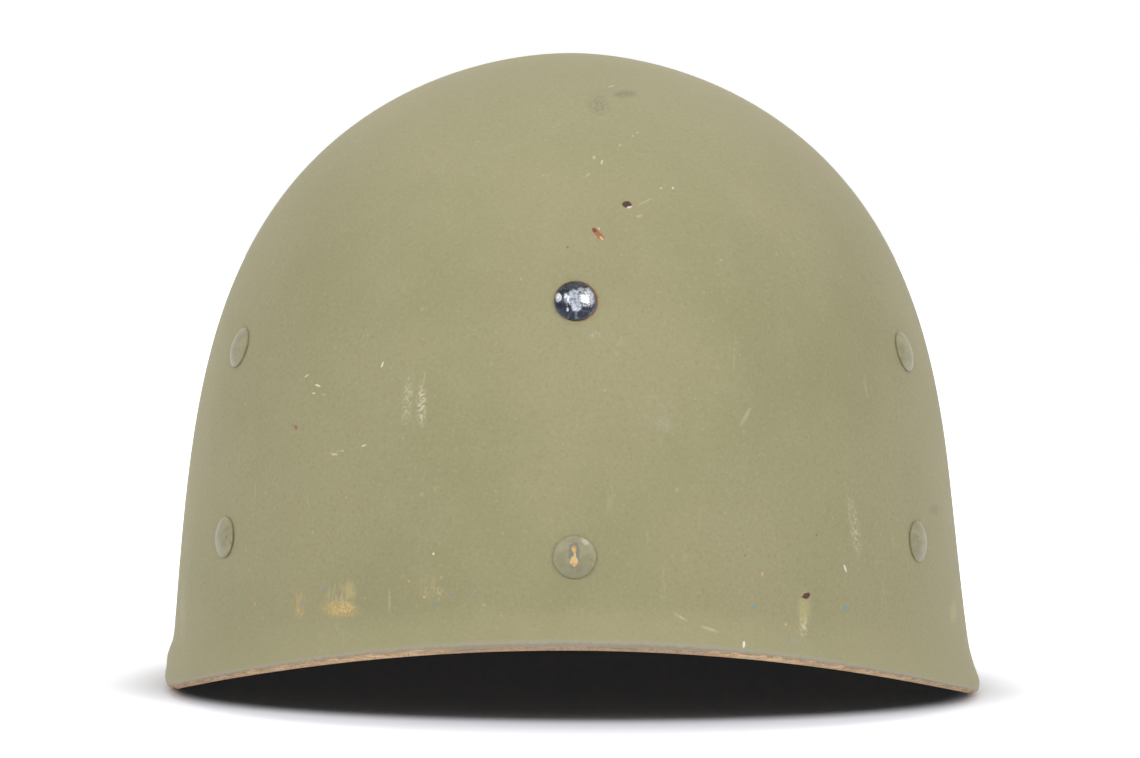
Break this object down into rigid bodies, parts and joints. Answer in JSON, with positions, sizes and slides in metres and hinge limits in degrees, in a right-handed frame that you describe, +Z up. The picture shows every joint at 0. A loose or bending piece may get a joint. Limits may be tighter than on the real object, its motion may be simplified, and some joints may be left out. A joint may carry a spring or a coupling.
{
  "type": "helmet liner",
  "caption": "Domed laminate helmet liner with a raised brow, riveted webbing suspension, leather sweatband and a nape strap on hinged lever buckles.",
  "frame": {"origin": "on the surface that the rim stands on, under the middle of the shell", "axes": "+Z up, -Y towards the brow, +X towards the wearer's left"},
  "size_m": [0.2284, 0.272, 0.178],
  "materials": {
    "painted_laminate": "matt olive drab paint on pressed cotton laminate, brown at the cut edge",
    "bright_stud": "domed and polished, scuffed, with rust at the edge",
    "painted_brass": "olive drab paint over brass, worn",
    "painted_steel": "dark green baked paint",
    "blackened_steel": "black japanned steel",
    "cotton_webbing": "herringbone cotton webbing",
    "cotton_lace": "braided cotton",
    "leather": "smooth brown leather"
  },
  "bodies": {
    "liner": {"shell": "painted_laminate", "front_stud": "bright_stud", "front_stud_washer": "painted_steel", "suspension_rivets": "painted_brass", "a_washer_front": "painted_steel", "a_washer_front_left": "painted_steel", "a_washer_rear_left": "painted_steel", "a_washer_rear": "painted_steel", "a_washer_rear_right": "painted_steel", "a_washer_front_right": "painted_steel", "chin_strap_stud_left": "painted_brass", "chin_strap_stud_right": "painted_brass", "chin_strap_washer_left": "painted_steel", "chin_strap_washer_right": "painted_steel", "headband_webbing": "cotton_webbing", "crown_strap_front_left": "cotton_webbing", "crown_strap_rear": "cotton_webbing", "crown_strap_right": "cotton_webbing", "crown_lace": "cotton_lace", "sweatband": "leather", "sweatband_buckle": "blackened_steel", "sweatband_clips": "blackened_steel", "nape_rivets": "painted_brass", "nape_washer_left": "painted_steel", "nape_washer_centre": "painted_steel", "nape_washer_right": "painted_steel", "nape_strap": "cotton_webbing", "nape_tab_left": "cotton_webbing", "nape_tab_centre": "cotton_webbing", "nape_tab_right": "cotton_webbing", "nape_buckle_frame_left": "blackened_steel", "nape_buckle_frame_centre": "blackened_steel", "nape_buckle_frame_right": "blackened_steel"},
    "lever_left": {"nape_buckle_lever_left": "blackened_steel"},
    "lever_centre": {"nape_buckle_lever_centre": "blackened_steel"},
    "lever_right": {"nape_buckle_lever_right": "blackened_steel"}
  },
  "joints": [
    {"name": "nape_lever_left", "type": "hinge", "parent": "liner", "child": "lever_left", "pos_m": [0.05184, 0.0918, 0.017], "axis": [0, 0, -1], "range_deg": [0, 95]},
    {"name": "nape_lever_centre", "type": "hinge", "parent": "liner", "child": "lever_centre", "pos_m": [0, 0.10329, 0.017], "axis": [-1, 0, 0], "range_deg": [0, 95]},
    {"name": "nape_lever_right", "type": "hinge", "parent": "liner", "child": "lever_right", "pos_m": [-0.05184, 0.0918, 0.017], "axis": [0, 0, 1], "range_deg": [0, 95]}
  ]
}
